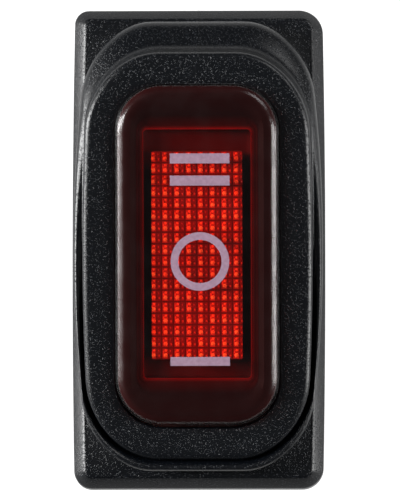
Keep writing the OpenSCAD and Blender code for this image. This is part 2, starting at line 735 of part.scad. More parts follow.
housing();
panel_gasket();
rubber_boot();
base_seal();
terminal_common();
at_end(-1) load_terminal();  // terminal_front
at_end(1) load_terminal();  // terminal_rear
at_end(-1) fixed_contact();  // fixed_contact_front
at_end(1) fixed_contact();  // fixed_contact_rear
lamp_spring(-1);  // lamp_spring_front
lamp_spring(1);  // lamp_spring_rear
rocker_frame();
lens();
lamp_board();
with_rocker() at_end(-1) lamp_led();  // lamp_led_front
with_rocker() at_end(1) lamp_led();  // lamp_led_rear
lamp_resistor();
with_rocker() at_end(-1) lamp_contact();  // lamp_contact_front
with_rocker() at_end(1) lamp_contact();  // lamp_contact_rear
plunger_spring();
plunger();
contact_blade();
with_blade() at_end(-1) contact_button();  // contact_button_front
with_blade() at_end(1) contact_button();  // contact_button_rear
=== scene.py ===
# %% [markdown]
# # A sealed panel rocker switch
#
# The switch snaps into a rectangular hole in a panel. From the front it shows three things: a black
# rubber boot that is bezel and seal in one, a red polycarbonate lens that the boot grips, and the signs
# printed on the lens. Behind the panel it has a nylon body, snap tongues and three blade terminals.
#
# The CAD model is the fixed frame. It gives every piece its place, and this script gives them their
# looks. All sizes below are millimetres and become metres in one function, when a mesh is made.

import json
import math

import bmesh
import bpy
from mathutils import Matrix, Vector
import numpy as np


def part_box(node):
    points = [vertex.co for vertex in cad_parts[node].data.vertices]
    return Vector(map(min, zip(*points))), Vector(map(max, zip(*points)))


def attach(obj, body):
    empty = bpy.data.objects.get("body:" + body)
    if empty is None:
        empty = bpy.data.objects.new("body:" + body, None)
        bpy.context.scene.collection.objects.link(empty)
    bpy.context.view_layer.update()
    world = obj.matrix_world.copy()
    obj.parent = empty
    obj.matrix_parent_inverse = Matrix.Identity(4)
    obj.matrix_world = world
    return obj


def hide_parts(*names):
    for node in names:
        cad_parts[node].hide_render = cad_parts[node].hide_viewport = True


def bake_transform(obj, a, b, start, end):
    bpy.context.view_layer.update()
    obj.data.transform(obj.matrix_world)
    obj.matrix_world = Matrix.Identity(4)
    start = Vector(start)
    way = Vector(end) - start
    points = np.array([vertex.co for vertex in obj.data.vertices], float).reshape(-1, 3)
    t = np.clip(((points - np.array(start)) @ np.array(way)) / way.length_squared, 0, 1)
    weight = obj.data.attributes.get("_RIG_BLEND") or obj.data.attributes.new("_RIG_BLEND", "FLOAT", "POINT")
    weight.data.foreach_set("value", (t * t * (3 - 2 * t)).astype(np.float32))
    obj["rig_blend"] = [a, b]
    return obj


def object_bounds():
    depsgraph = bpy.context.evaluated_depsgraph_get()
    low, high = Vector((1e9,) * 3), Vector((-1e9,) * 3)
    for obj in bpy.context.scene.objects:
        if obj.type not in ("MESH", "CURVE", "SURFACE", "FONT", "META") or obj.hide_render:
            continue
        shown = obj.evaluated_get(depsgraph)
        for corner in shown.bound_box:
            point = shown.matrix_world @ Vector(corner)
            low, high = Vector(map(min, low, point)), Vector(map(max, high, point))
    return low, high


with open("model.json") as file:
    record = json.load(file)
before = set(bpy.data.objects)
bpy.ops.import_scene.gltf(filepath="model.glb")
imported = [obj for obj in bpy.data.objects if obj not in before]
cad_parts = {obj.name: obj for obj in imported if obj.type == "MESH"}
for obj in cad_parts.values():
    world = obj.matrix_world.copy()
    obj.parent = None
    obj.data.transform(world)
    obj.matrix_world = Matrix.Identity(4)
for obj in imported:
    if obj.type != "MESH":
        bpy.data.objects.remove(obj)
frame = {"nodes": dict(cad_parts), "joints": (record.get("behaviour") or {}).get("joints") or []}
cad_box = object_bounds()
nodes = frame["nodes"]
MM = 0.001
print("nodes", len(nodes), "box in mm", [round((b - a) / MM, 2) for a, b in zip(*cad_box)])


# %% [markdown]
# ## How the rocker stands
#
# The rocker is drawn pressed at its one-bar end. It turns about an axis along X, and level lies half way
# along the joint's range. A piece of the rocker is easiest to draw level, so it is made that way and one
# matrix then turns its mesh into place. The object itself stays at the origin.

# %% Pivot and tilt, from the joint
tilt_joint = next(j for j in frame["joints"] if j["name"] == "rocker_tilt")
pivot = Vector(tilt_joint["pos_m"])
tilt = math.radians(-sum(tilt_joint["range_deg"]) / 2)
LEVEL_TO_REST = Matrix.Translation(pivot) @ Matrix.Rotation(tilt, 4, "X") @ Matrix.Translation(-pivot)
print("pivot height", round(pivot.z / MM, 2), "tilt", round(math.degrees(tilt), 2))


# %% [markdown]
# ## Making meshes
#
# Most visible pieces are lofts: a row of closed outlines of equal length, joined by quads. One function
# makes the mesh, applies the place to it and shades it smooth except at sharp edges.

# %% Mesh helpers
def make_piece(name, points, faces, material, place=None, sharp_deg=35):
    """A mesh object at the origin from points in millimetres. place is applied to the mesh."""
    mesh = bpy.data.meshes.new(name)
    mesh.from_pydata([Vector(p) * MM for p in points], [], faces)
    if place is not None:
        mesh.transform(place)
    mesh.update()
    if mesh.validate():
        print("mended", name)
    piece = bpy.data.objects.new(name, mesh)
    bpy.context.scene.collection.objects.link(piece)
    mesh.materials.append(material)
    mesh.shade_smooth()
    if sharp_deg:
        mesh.set_sharp_from_angle(angle=math.radians(sharp_deg))
    return piece


def loft_faces(ring_count, ring_length, loop=False):
    """Quads between neighbouring rings. With loop, the last ring joins the first."""
    last = ring_count if loop else ring_count - 1
    return [
        (i * ring_length + k, i * ring_length + l, j * ring_length + l, j * ring_length + k)
        for i in range(last)
        for j in [(i + 1) % ring_count]
        for k in range(ring_length)
        for l in [(k + 1) % ring_length]
    ]


def mix(a, b, t):
    return a + (b - a) * t


# %% [markdown]
# ## Colours and nodes
#
# Colours are written as sRGB hex, as a colour picker shows them, and one function makes them linear.
# Another adds a node with its settings and links, so that each material reads as a short list.

# %% Material helpers
def rgb(hex_code, alpha=1.0):
    """Linear RGBA from an sRGB hex colour."""
    parts = [int(hex_code[i : i + 2], 16) / 255 for i in (0, 2, 4)]
    return (*[c / 12.92 if c <= 0.04045 else ((c + 0.055) / 1.055) ** 2.4 for c in parts], alpha)


def add(tree, kind, links=None, **settings):
    """A node of that kind. settings are its properties or input values, links its linked inputs."""
    node = tree.nodes.new(kind)
    for key, value in settings.items():
        if hasattr(node, key):
            setattr(node, key, value)
        else:
            node.inputs[key.replace("_", " ")].default_value = value
    for key, source in (links or {}).items():
        tree.links.new(source, node.inputs[key])
    return node


def new_material(name):
    material = bpy.data.materials.new(name)
    material.use_nodes = True
    material.node_tree.nodes.clear()
    return material, material.node_tree


def colour_ramp(tree, value, stops):
    """Colour from a value. stops are (position, sRGB hex)."""
    ramp = add(tree, "ShaderNodeValToRGB", {"Fac": value})
    elements = ramp.color_ramp.elements
    while len(elements) < len(stops):
        elements.new(0.5)
    for element, (position, colour) in zip(elements, stops):
        element.position = position
        element.color = rgb(colour)
    return ramp.outputs["Color"]


def finish_surface(tree, shader):
    add(tree, "ShaderNodeOutputMaterial", {"Surface": shader.outputs[0]})


# %% [markdown]
# ## The rubber boot
#
# The boot is one moulding: a skirt that wraps the flange and is the visible bezel, an outer fold, a
# step that moves with the rocker, and a mouth that grips the lens. Cross-sections along it all have the
# same make-up, so it is lofted from rows. Each row is an outline, a height and the share of the
# rocker's tilt that this part of the rubber takes.
#
# The mesh is blended from the body to the rocker. The blend runs across a slanted slice of height, low
# at the pressed end and high at the raised one, so that the fold unrolls where the rocker rises and
# closes to a groove where it dips.
#
# An outline is [half width at the ends, half length, corner radius along x, along y, bow of the long
# sides]. The bezel's comes from the CAD piece, and the others are set in from it.

# %% Outlines of the boot and the lens
boot_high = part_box("rubber_boot")[1]
gasket_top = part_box("panel_gasket")[1].z / MM

BEZEL_H = 2.6
BEVEL_W, BEVEL_H = 0.75, 0.85
FOLD_H, STEP_H = 5.0, 7.0
BOOT_WALL = 0.75
LENS_RISE = 1.2

bezel_hx = boot_high.x / MM
bezel_hy = boot_high.y / MM
BEZEL = [bezel_hx - 0.17, bezel_hy, 1.3, 1.3, 0.17, (1.3, 0.75, 0.95, 1.15)]
FOLD = [bezel_hx - 1.4, bezel_hy - 1.1, 4.3, 5.2, 1.25]
FOOT = [bezel_hx - 1.29, FOLD[1] - 0.3, 4.1, 5.0, 0.44]
STEP = [FOLD[0] + 0.02, FOLD[1] - 1.6, 4.9, 5.6, 0.5]
STEP_DRAW = 0.16
MOUTH = [STEP[0] + STEP[4] - 2.29, STEP[1] - 2.28, 3.35, 3.35, 0]
LENS = [MOUTH[0] - 0.05, MOUTH[1] - 0.05, 3.3, 3.3, 0]

CORNER_STEPS, SIDE_STEPS, END_STEPS = 16, 40, 8
SEAM_W = 0.06


def inset(line, d):
    return [line[0] - d, line[1] - d, max(line[2] - d, 0.3), max(line[3] - d, 0.3), *line[4:]]


def between(a, b, t):
    return [mix(p, q, t) for p, q in zip(a, b)]


def outline(line):
    """Points of an outline, anticlockwise from +X, with three points close to x = 0 at each end.

    A sixth entry scales the corners one by one.
    """
    hx, hy, rx, ry, bow = line[:5]
    scales = line[5] if len(line) > 5 else (1, 1, 1, 1)
    arcs = []
    for quarter, (sx, sy) in enumerate([(1, 1), (-1, 1), (-1, -1), (1, -1)]):
        ax, ay = rx * scales[quarter], ry * scales[quarter]
        turns = [math.radians(90 * (quarter + i / CORNER_STEPS)) for i in range(CORNER_STEPS + 1)]
        arcs.append([(sx * (hx - ax) + ax * math.cos(a), sy * (hy - ay) + ay * math.sin(a))
            for a in turns])
    points = []
    for quarter, arc in enumerate(arcs):
        points += arc
        (x0, y0), (x1, y1) = arc[-1], arcs[(quarter + 1) % 4][0]
        if quarter % 2 == 0:
            seam = math.copysign(SEAM_W, x0)
            xs = [mix(x0, seam, i / END_STEPS) for i in range(1, END_STEPS)] + [seam, 0.0, -seam]
            points += [(x, y0) for x in xs]
            points += [(mix(-seam, x1, i / END_STEPS), y0) for i in range(1, END_STEPS)]
        else:
            points += [(x0, mix(y0, y1, i / SIDE_STEPS)) for i in range(1, SIDE_STEPS)]
    return [(x * (1 + bow * (1 - (y / hy) ** 2) / hx), y) for x, y in points]


def follow(x, y, z, share):
    """A point moved by that share of the rocker's tilt."""
    dz = z - pivot.z / MM
    full_y = y * math.cos(tilt) - dz * math.sin(tilt)
    full_z = pivot.z / MM + y * math.sin(tilt) + dz * math.cos(tilt)
    return (x, mix(y, full_y, share), mix(z, full_z, share))


def boot_ring(line, z, share, ridge=0.0):
    """A ring of the boot. ridge lifts the mould's parting line, which runs along x = 0.

    The tilted rocker also draws the rubber that moves with it a little towards the pressed end.
    """
    ring = []
    for x, y in outline(line):
        lift = ridge if abs(x) < SEAM_W / 2 else 0.0
        drawn = STEP_DRAW * share * min(1.0, abs(y) / MOUTH[1])
        ring.append(follow(x, y + math.copysign(lift, y) - drawn, z + lift, share))
    return ring


print("points in a ring", len(outline(FOLD)))


# %% [markdown]
# Moulded edges are never sharp. A quarter circle of rows rounds each one: the sloping edge of the
# bezel, the top of the fold and the rim of the step.

# %% Rows of the boot
def round_edge(line, z_top, r, share, steps=6):
    """Rows up and over an outer edge with radius r."""
    rows = []
    for i in range(steps + 1):
        a = math.radians(90 * i / steps)
        rows.append((inset(line, r * (1 - math.cos(a))), z_top - r + r * math.sin(a), share))
    return rows


bevel_z = BEZEL_H - BEVEL_H

boot_rows = [
    (inset(BEZEL, 0.15), 0.05, 0),
    (inset(BEZEL, 0.04), 0.09, 0),
    (BEZEL, 0.2, 0),
    (BEZEL, bevel_z - 0.12, 0),
    (inset(BEZEL, 0.02), bevel_z - 0.03, 0),
    (inset(BEZEL, 0.07), bevel_z + 0.05, 0),
    (inset(BEZEL, BEVEL_W - 0.1), BEZEL_H - 0.12, 0),
    (inset(BEZEL, BEVEL_W - 0.03), BEZEL_H - 0.05, 0),
    (inset(BEZEL, BEVEL_W + 0.05), BEZEL_H - 0.01, 0),
    (inset(BEZEL, BEVEL_W + 0.15), BEZEL_H, 0),
    (inset(FOOT, -0.15), BEZEL_H, 0),
    (inset(FOOT, -0.04), BEZEL_H + 0.04, 0),
    (FOOT, BEZEL_H + 0.15, 0),
]
for i in range(1, 9):
    t = i / 9
    boot_rows.append((between(FOOT, FOLD, t**0.7), mix(BEZEL_H + 0.15, FOLD_H - 0.65, t), 0.05 * t))
fold_top = [(0.0, -0.65, 0.05), (0.02, -0.45, 0.06), (0.06, -0.28, 0.08), (0.13, -0.13, 0.11),
    (0.22, -0.04, 0.15), (0.34, 0.0, 0.21), (0.46, -0.01, 0.28), (0.57, -0.04, 0.36),
    (0.67, -0.09, 0.44), (0.76, -0.15, 0.52), (0.84, -0.2, 0.6), (0.91, -0.2, 0.67),
    (0.96, -0.12, 0.74), (0.99, 0.05, 0.82), (1.0, 0.3, 0.9)]
boot_rows += [(between(FOLD, STEP, t), FOLD_H + rise, share) for t, rise, share in fold_top]
RIM_R = 0.4
WALL_STEPS = 6
for i in range(1, WALL_STEPS):
    t = i / WALL_STEPS
    boot_rows.append((STEP, mix(FOLD_H + 0.3, STEP_H - RIM_R, t), min(1, 0.9 + 0.4 * t)))
boot_rows += round_edge(STEP, STEP_H, RIM_R, 1)
boot_rows += [
    (inset(STEP, 0.7), STEP_H, 1),
    (inset(STEP, 1.2), STEP_H, 1),
    (inset(MOUTH, -0.6), STEP_H, 1),
    (inset(MOUTH, -0.14), STEP_H, 1),
    (inset(MOUTH, -0.04), STEP_H - 0.04, 1),
    (MOUTH, STEP_H - 0.14, 1),
]
outer_rows = len(boot_rows)
FLANGE_TOP = gasket_top + 1.2
SKIRT = [bezel_hx - 0.72, bezel_hy - 0.72, 0.95, 0.95, 0]
boot_rows += [
    (MOUTH, STEP_H - BOOT_WALL, 1),
    (inset(STEP, BOOT_WALL), STEP_H - BOOT_WALL, 1),
    (inset(STEP, BOOT_WALL), FOLD_H + 0.5, 1),
    (inset(STEP, BOOT_WALL), FOLD_H - 0.1, 0.9),
    (inset(between(FOOT, STEP, 0.5), BOOT_WALL - 0.07), FOLD_H - 1.05, 0.7),
    (inset(FOOT, BOOT_WALL - 0.2), FOLD_H - 1.9, 0.03),
    (inset(FOOT, BOOT_WALL), FLANGE_TOP + 0.08, 0),
    (SKIRT, FLANGE_TOP + 0.08, 0),
    (SKIRT, 0.05, 0),
]
RIDGE = 0.015
boot_rings = [boot_ring(*row, RIDGE if i < outer_rows else 0) for i, row in enumerate(boot_rows)]
print("rows of the boot", len(boot_rows))


# %% [markdown]
# ## Black rubber
#
# The boot is moulded from a black rubber in a mould with an eroded, grainy surface. That gives a dark,
# matt skin with a fine sparkle where light rakes over it. Noise is cut to its higher part, so that the
# skin is flat with grit standing on it. Its colour is painted shade and painted sparkle: darker between
# the grains, and brighter on them.

# %% Rubber material
GRIT = 0.12


def black_rubber():
    material, tree = new_material("black_rubber_eroded_mould")
    place = add(tree, "ShaderNodeTexCoord").outputs["Object"]
    grain = add(tree, "ShaderNodeTexNoise", {"Vector": place}, Scale=1 / (GRIT * MM), Detail=1.5,
        Roughness=0.6)
    grit_with_painted_sparkle = add(tree, "ShaderNodeMapRange", {"Value": grain.outputs["Fac"]}, interpolation_type="SMOOTHSTEP",
        From_Min=0.54, From_Max=0.72)
    patches = add(tree, "ShaderNodeTexNoise", {"Vector": place}, Scale=1 / (3.0 * MM), Detail=3.0)
    # Painted shade and painted sparkle: the colour is darker between the grains and brighter on the grit.
    tone = colour_ramp(tree, grit_with_painted_sparkle.outputs["Result"], [(0.0, "05070B"), (1.0, "10151C")])
    rough = add(tree, "ShaderNodeMapRange", {"Value": patches.outputs["Fac"]}, To_Min=0.27, To_Max=0.34)
    bump = add(tree, "ShaderNodeBump", {"Height": grit_with_painted_sparkle.outputs["Result"]}, Strength=1.0,
        Distance=0.014 * MM)
    surface = add(tree, "ShaderNodeBsdfPrincipled", {"Base Color": tone,
        "Roughness": rough.outputs["Result"], "Normal": bump.outputs["Normal"]}, IOR=1.45)
    finish_surface(tree, surface)
    return material


rubber = black_rubber()
boot = make_piece("rubber_boot_moulding", [p for ring in boot_rings for p in ring],
    loft_faces(len(boot_rings), len(boot_rings[0]), loop=True), rubber, sharp_deg=60)
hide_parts("rubber_boot")
SLICE_LEAN = math.radians(4.6)
SLICE_LOW, SLICE_HIGH = 3.81, 6.0
slice_axis = Vector((0, -math.sin(SLICE_LEAN), math.cos(SLICE_LEAN)))
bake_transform(boot, "base", "rocker", start=slice_axis * SLICE_LOW * MM, end=slice_axis * SLICE_HIGH * MM)
print("boot triangles", sum(len(f.vertices) - 2 for f in boot.data.polygons))


# %% [markdown]
# ## The lens
#
# The lens is clear red polycarbonate from a polished mould. Its solid rim looks almost black, because
# light has a long way through red plastic there. In the middle it is a thin roof over a hollow, and the
# underside of that roof is moulded into small prisms that throw the light back.
#
# It could be made as real glass, but light that is bent at every prism needs many samples and leaves the
# colour to chance. Instead it is built in layers, as the eye meets them: a thin clear skin with the gloss,
# the dark body just below it, and the prisms, with the light they throw back painted into their colour.
# The skin is Transparent with a red tint, mixed with Glossy by a Fresnel node.

# %% Clear skin of the lens
LENS_EDGE = 0.75
LENS_TOP = STEP_H + LENS_RISE
FLANGE_LIP = 0.62
flange_z = STEP_H - BOOT_WALL - 0.05


def clear_polycarbonate():
    material, tree = new_material("red_polycarbonate_polished_skin")
    place = add(tree, "ShaderNodeTexCoord").outputs["Object"]
    wear = add(tree, "ShaderNodeTexNoise", {"Vector": place}, Scale=1 / (1.3 * MM), Detail=4.0)
    rough = add(tree, "ShaderNodeMapRange", {"Value": wear.outputs["Fac"]}, From_Min=0.35, From_Max=0.7,
        To_Min=0.2, To_Max=0.3)
    through = add(tree, "ShaderNodeBsdfTransparent", Color=rgb("FFD9D4"))
    gloss = add(tree, "ShaderNodeBsdfAnisotropic", {"Roughness": rough.outputs["Result"]},
        Color=rgb("FFFFFF"))
    mirror = add(tree, "ShaderNodeFresnel", IOR=1.45)
    inside = add(tree, "ShaderNodeNewGeometry").outputs["Backfacing"]
    outside = add(tree, "ShaderNodeMapRange", {"Value": inside}, To_Min=1.0, To_Max=0.0)
    share = add(tree, "ShaderNodeMath", {0: mirror.outputs["Fac"], 1: outside.outputs["Result"]},
        operation="MULTIPLY")
    both = add(tree, "ShaderNodeMixShader", {"Fac": share.outputs[0]})
    tree.links.new(through.outputs[0], both.inputs[1])
    tree.links.new(gloss.outputs[0], both.inputs[2])
    finish_surface(tree, both)
    return material


skin_rows = [(inset(LENS, -FLANGE_LIP), flange_z - 0.65), (inset(LENS, -FLANGE_LIP), flange_z),
    (LENS, flange_z), (LENS, LENS_TOP - LENS_EDGE)]
skin_rows += [(line, z) for line, z, share in round_edge(LENS, LENS_TOP, LENS_EDGE, 1, steps=10)[1:]]
skin_rows += [(inset(LENS, 2.5), LENS_TOP), (inset(LENS, 4.0), LENS_TOP)]


def level_rings(rows):
    return [[(x, y, z) for x, y in outline(line)] for line, z in rows]


def capped_loft(rings, bottom=False):
    """Points and faces of a loft with its last ring closed, and its first too with bottom."""
    n = len(rings[0])
    faces = loft_faces(len(rings), n)
    faces.append(tuple((len(rings) - 1) * n + k for k in range(n)))
    if bottom:
        faces.append(tuple(reversed(range(n))))
    return [p for ring in rings for p in ring], faces


points, faces = capped_loft(level_rings(skin_rows), bottom=True)
skin = make_piece("lens_skin", points, faces, clear_polycarbonate(), LEVEL_TO_REST)
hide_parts("lens")
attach(skin, "rocker")


# %% [markdown]
# Under the skin lies the dark body of the rim, a thin bright line along the edge of the hollow, and the
# hollow's red walls. That bright line is a painted highlight on a small bead. An attribute called depth
# runs from 0 at the outer edge to 1 at the hollow and on to 2 at the hollow's floor, and the material
# turns it into colour.

# %% Rim and hollow of the lens
HOLLOW_HX, HOLLOW_HY, HOLLOW_Y = 3.80, 8.76, 0.04
HOLLOW_TOP = 7.15
BODY_GAP = 0.16


def hollow_line(grow):
    return [HOLLOW_HX + grow, HOLLOW_HY + grow, 0.25 + max(grow, 0), 0.25 + max(grow, 0), 0]


def body_material():
    material, tree = new_material("red_polycarbonate_depth")
    depth = add(tree, "ShaderNodeAttribute", attribute_name="depth").outputs["Fac"]
    share = add(tree, "ShaderNodeMapRange", {"Value": depth}, From_Max=2.0)
    # The bright stops around depth 1 are a painted highlight along the hollow's edge; the others are the
    # tone of the rim and the hollow.
    stops = [(0.0, "2A1012"), (0.12, "190708"), (0.38, "160405"), (0.47, "300303"), (0.5, "6A0302"),
        (0.54, "6A0302"), (0.56, "440202"), (0.8, "3C0101"), (1.0, "460202")]
    tone = colour_ramp(tree, share.outputs["Result"], stops)
    surface = add(tree, "ShaderNodeBsdfPrincipled", {"Base Color": tone},
        Roughness=0.55, IOR=1.1)
    finish_surface(tree, surface)
    return material


body_rows = [
    (inset(LENS, BODY_GAP), flange_z - 0.5, 0.0),
    (inset(LENS, BODY_GAP), LENS_TOP - LENS_EDGE, 0.0),
    (inset(LENS, BODY_GAP + 0.15), LENS_TOP - 0.45, 0.1),
    (inset(LENS, BODY_GAP + 0.45), LENS_TOP - 0.25, 0.2),
    (inset(LENS, BODY_GAP + 0.9), LENS_TOP - 0.22, 0.4),
    (between(inset(LENS, 1.2), hollow_line(0.35), 0.6), LENS_TOP - 0.5, 0.75),
    (hollow_line(0.35), HOLLOW_TOP + 0.02, 0.9),
    # These rows form a small bead at the hollow's edge, which the material paints with a bright highlight.
    (hollow_line(0.05), HOLLOW_TOP, 0.98),
    (hollow_line(0.03), HOLLOW_TOP + 0.03, 1.0),
    (hollow_line(-0.04), HOLLOW_TOP + 0.03, 1.08),
    (hollow_line(-0.05), HOLLOW_TOP, 1.12),
    (hollow_line(-0.06), flange_z - 0.2, 1.8),
    (hollow_line(-0.3), flange_z - 0.3, 2.0),
]
rings, depths = [], []
for line, z, depth in body_rows:
    shift = HOLLOW_Y * min(depth, 1)
    rings.append([(x, y + shift, z) for x, y in outline(line)])
    depths += [depth] * len(rings[-1])
points, faces = capped_loft(rings, bottom=True)
body = make_piece("lens_body", points, faces, body_material(), LEVEL_TO_REST)
body.data.attributes.new("depth", "FLOAT", "POINT").data.foreach_set("value", depths)
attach(body, "rocker")
print("lens rings", len(skin_rows), len(body_rows))


# %% [markdown]
# ## The prisms
#
# 18 rows of about 7.6 prisms fill the field. Each prism shows the same few glints, and they are painted
# into its colour, so one cell is drawn and Geometry Nodes repeats it: a pad for the painted lit half, a pad
# for the painted dark half, a large and a small painted bright facet group, and one dim facet. Each part
# carries a number called glow, the brightness that is painted on it. A random number for
# each cell then varies it a little, as moulded prisms do.

# %% Geometry Nodes tree for the prism field
PITCH_X, PITCH_Y = 0.8305, 0.812
COLUMNS, ROWS = 8, 18
FIELD_X, FIELD_Y = -0.02, -0.068
FIELD_W = 6.36


def prism_tree(material):
    tree = bpy.data.node_groups.new("prism_field", "GeometryNodeTree")
    face = tree.interface
    face.new_socket("Geometry", in_out="OUTPUT", socket_type="NodeSocketGeometry")
    for name, kind in [("Pitch X", "Float"), ("Pitch Y", "Float"), ("Columns", "Int"), ("Rows", "Int")]:
        face.new_socket(name, in_out="INPUT", socket_type="NodeSocket" + kind)
    given = tree.nodes.new("NodeGroupInput").outputs

    def part(kind, glow, at, size, **settings):
        shape = add(tree, kind, **settings)
        moved = add(tree, "GeometryNodeTransform", {"Geometry": shape.outputs["Mesh"]},
            Translation=at, Scale=size)
        return add(tree, "GeometryNodeStoreNamedAttribute", {"Geometry": moved.outputs[0]},
            data_type="FLOAT", domain="POINT", Name="glow", Value=glow).outputs[0]

    facets = dict(Vertices=6, Radius_Top=0.35, Radius_Bottom=1.0, Depth=1.0)
    # The second number of each part is its painted light: painted glints on the bright facet groups, a
    # painted lit half and a painted dark half.
    cell = [
        part("GeometryNodeMeshCube", 0.42, (-0.2, 0.0, 0.03), (0.46, 0.84, 0.06)),
        part("GeometryNodeMeshCube", 0.22, (0.25, 0.0, 0.02), (0.36, 0.84, 0.04)),
        part("GeometryNodeMeshCone", 1.0, (-0.17, -0.15, 0.05), (0.2, 0.22, 0.16), **facets),
        part("GeometryNodeMeshCone", 0.8, (-0.15, 0.27, 0.05), (0.13, 0.14, 0.12), **facets),
        part("GeometryNodeMeshCone", 0.62, (-0.33, 0.1, 0.05), (0.08, 0.2, 0.06), **facets),
        part("GeometryNodeMeshCone", 0.55, (0.3, -0.2, 0.03), (0.1, 0.13, 0.1), **facets),
        part("GeometryNodeMeshCone", 0.4, (0.24, 0.22, 0.03), (0.08, 0.12, 0.06), **facets),
    ]
    joined = add(tree, "GeometryNodeJoinGeometry")
    for geometry in cell:
        tree.links.new(geometry, joined.inputs[0])
    scale = add(tree, "ShaderNodeCombineXYZ", {"X": given["Pitch X"], "Y": given["Pitch Y"],
        "Z": given["Pitch X"]})
    sized = add(tree, "GeometryNodeTransform", {"Geometry": joined.outputs[0],
        "Scale": scale.outputs[0]})

    def span(count, pitch):
        less = add(tree, "ShaderNodeMath", {0: count}, operation="SUBTRACT")
        less.inputs[1].default_value = 1.0
        return add(tree, "ShaderNodeMath", {0: less.outputs[0], 1: pitch}, operation="MULTIPLY").outputs[0]

    grid = add(tree, "GeometryNodeMeshGrid", {
        "Size X": span(given["Columns"], given["Pitch X"]),
        "Size Y": span(given["Rows"], given["Pitch Y"]),
        "Vertices X": given["Columns"], "Vertices Y": given["Rows"]})
    cells = add(tree, "GeometryNodeInstanceOnPoints", {"Points": grid.outputs["Mesh"],
        "Instance": sized.outputs[0]})
    chance = add(tree, "FunctionNodeRandomValue", data_type="FLOAT", Seed=7)
    named = add(tree, "GeometryNodeStoreNamedAttribute", {"Geometry": cells.outputs[0],
        "Value": chance.outputs[1]}, data_type="FLOAT", domain="INSTANCE", Name="chance")
    real = add(tree, "GeometryNodeRealizeInstances", {"Geometry": named.outputs[0]})
    finished = add(tree, "GeometryNodeSetMaterial", {"Geometry": real.outputs[0]}, Material=material)
    add(tree, "NodeGroupOutput", {0: finished.outputs[0]})
    return tree


def mesh_from_tree(name, tree, **inputs):
    """Runs a tree with these inputs and returns the result as a plain mesh."""
    holder = bpy.data.objects.new(name, bpy.data.meshes.new(name))
    bpy.context.scene.collection.objects.link(holder)
    modifier = holder.modifiers.new("nodes", "NODES")
    modifier.node_group = tree
    for item in tree.interface.items_tree:
        if item.in_out == "INPUT" and item.name.replace(" ", "_") in inputs:
            modifier[item.identifier] = inputs[item.name.replace(" ", "_")]
    graph = bpy.context.evaluated_depsgraph_get()
    mesh = bpy.data.meshes.new_from_object(holder.evaluated_get(graph), depsgraph=graph)
    bpy.data.objects.remove(holder)
    mesh.name = name
    return mesh


# %% Prism field
def prism_material():
    material, tree = new_material("red_polycarbonate_prisms")
    glow = add(tree, "ShaderNodeAttribute", attribute_name="glow").outputs["Fac"]
    chance = add(tree, "ShaderNodeAttribute", attribute_name="chance").outputs["Fac"]
    varied = add(tree, "ShaderNodeMapRange", {"Value": chance}, To_Min=0.86, To_Max=1.08)
    level = add(tree, "ShaderNodeMath", {0: glow, 1: varied.outputs["Result"]}, operation="MULTIPLY")
    # The ramp turns painted light into colour, from dark red for painted shade to orange for painted glints.
    stops = [(0.0, "5E0200"), (0.22, "7E0703"), (0.42, "B0160A"), (0.62, "DC2C12"), (0.85, "FF3F1C"),
        (1.0, "FF6030")]
    tone = colour_ramp(tree, level.outputs[0], stops)
    surface = add(tree, "ShaderNodeBsdfPrincipled", {"Base Color": tone},
        Roughness=0.35, IOR=1.2)
    finish_surface(tree, surface)
    return material


prism_painted_light = prism_material()
field = mesh_from_tree("lens_prisms", prism_tree(prism_painted_light), Pitch_X=PITCH_X * MM,
    Pitch_Y=PITCH_Y * MM, Columns=COLUMNS, Rows=ROWS)
print("prism field", len(field.polygons), "faces", [a.name for a in field.attributes])

bm = bmesh.new()
bm.from_mesh(field)
for side in (-1, 1):
    cut = bmesh.ops.bisect_plane(bm, geom=bm.verts[:] + bm.edges[:] + bm.faces[:],
        plane_co=(side * FIELD_W / 2 * MM, 0, 0), plane_no=(side, 0, 0), clear_outer=True)
    rims = [e for e in cut["geom_cut"] if isinstance(e, bmesh.types.BMEdge)]
    bmesh.ops.holes_fill(bm, edges=rims)
bm.to_mesh(field)
bm.free()
field.transform(LEVEL_TO_REST @ Matrix.Translation(Vector((FIELD_X, FIELD_Y, HOLLOW_TOP - 0.1)) * MM))
prisms = bpy.data.objects.new("lens_prisms", field)
bpy.context.scene.collection.objects.link(prisms)
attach(prisms, "rocker")

px, py = FIELD_W / 2, ROWS * PITCH_Y / 2
plate_line = [px, py, 0.1, 0.1, 0]
plate_points, plate_faces = capped_loft(level_rings([(plate_line, HOLLOW_TOP - 0.3),
    (plate_line, HOLLOW_TOP - 0.08)]), bottom=True)
plate_points = [(x + FIELD_X, y + FIELD_Y, z) for x, y, z in plate_points]
plate = make_piece("lens_prism_plate", plate_points, plate_faces, prism_painted_light, LEVEL_TO_REST)
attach(plate, "rocker")


# %% [markdown]
# ## The print
#
# Two bars, a ring and one bar are pad printed on the lens in a white that the red below turns a little
# lavender. Ink lies on the surface with a thickness that is barely there, so each sign is a very thin
# solid.

# %% Printed signs
INK_T = 0.02
PRINT_X = 0.21
BAR_HX = 2.085
BARS = [(6.77, 0.35), (5.22, 0.35), (-7.44, 0.31)]
RING_Y, RING_R, RING_STROKE = -0.44, 2.05, 0.537
RING_STEPS = 96


def printed_ink():
    material, tree = new_material("white_pad_printed_ink")
    place = add(tree, "ShaderNodeTexCoord").outputs["Object"]
    speckle = add(tree, "ShaderNodeTexNoise", {"Vector": place}, Scale=1 / (0.25 * MM), Detail=3.0)
    tone = colour_ramp(tree, speckle.outputs["Fac"], [(0.3, "8A6E80"), (0.7, "9A7E90")])
    surface = add(tree, "ShaderNodeBsdfPrincipled", {"Base Color": tone},
        Roughness=0.5)
    finish_surface(tree, surface)
    return material


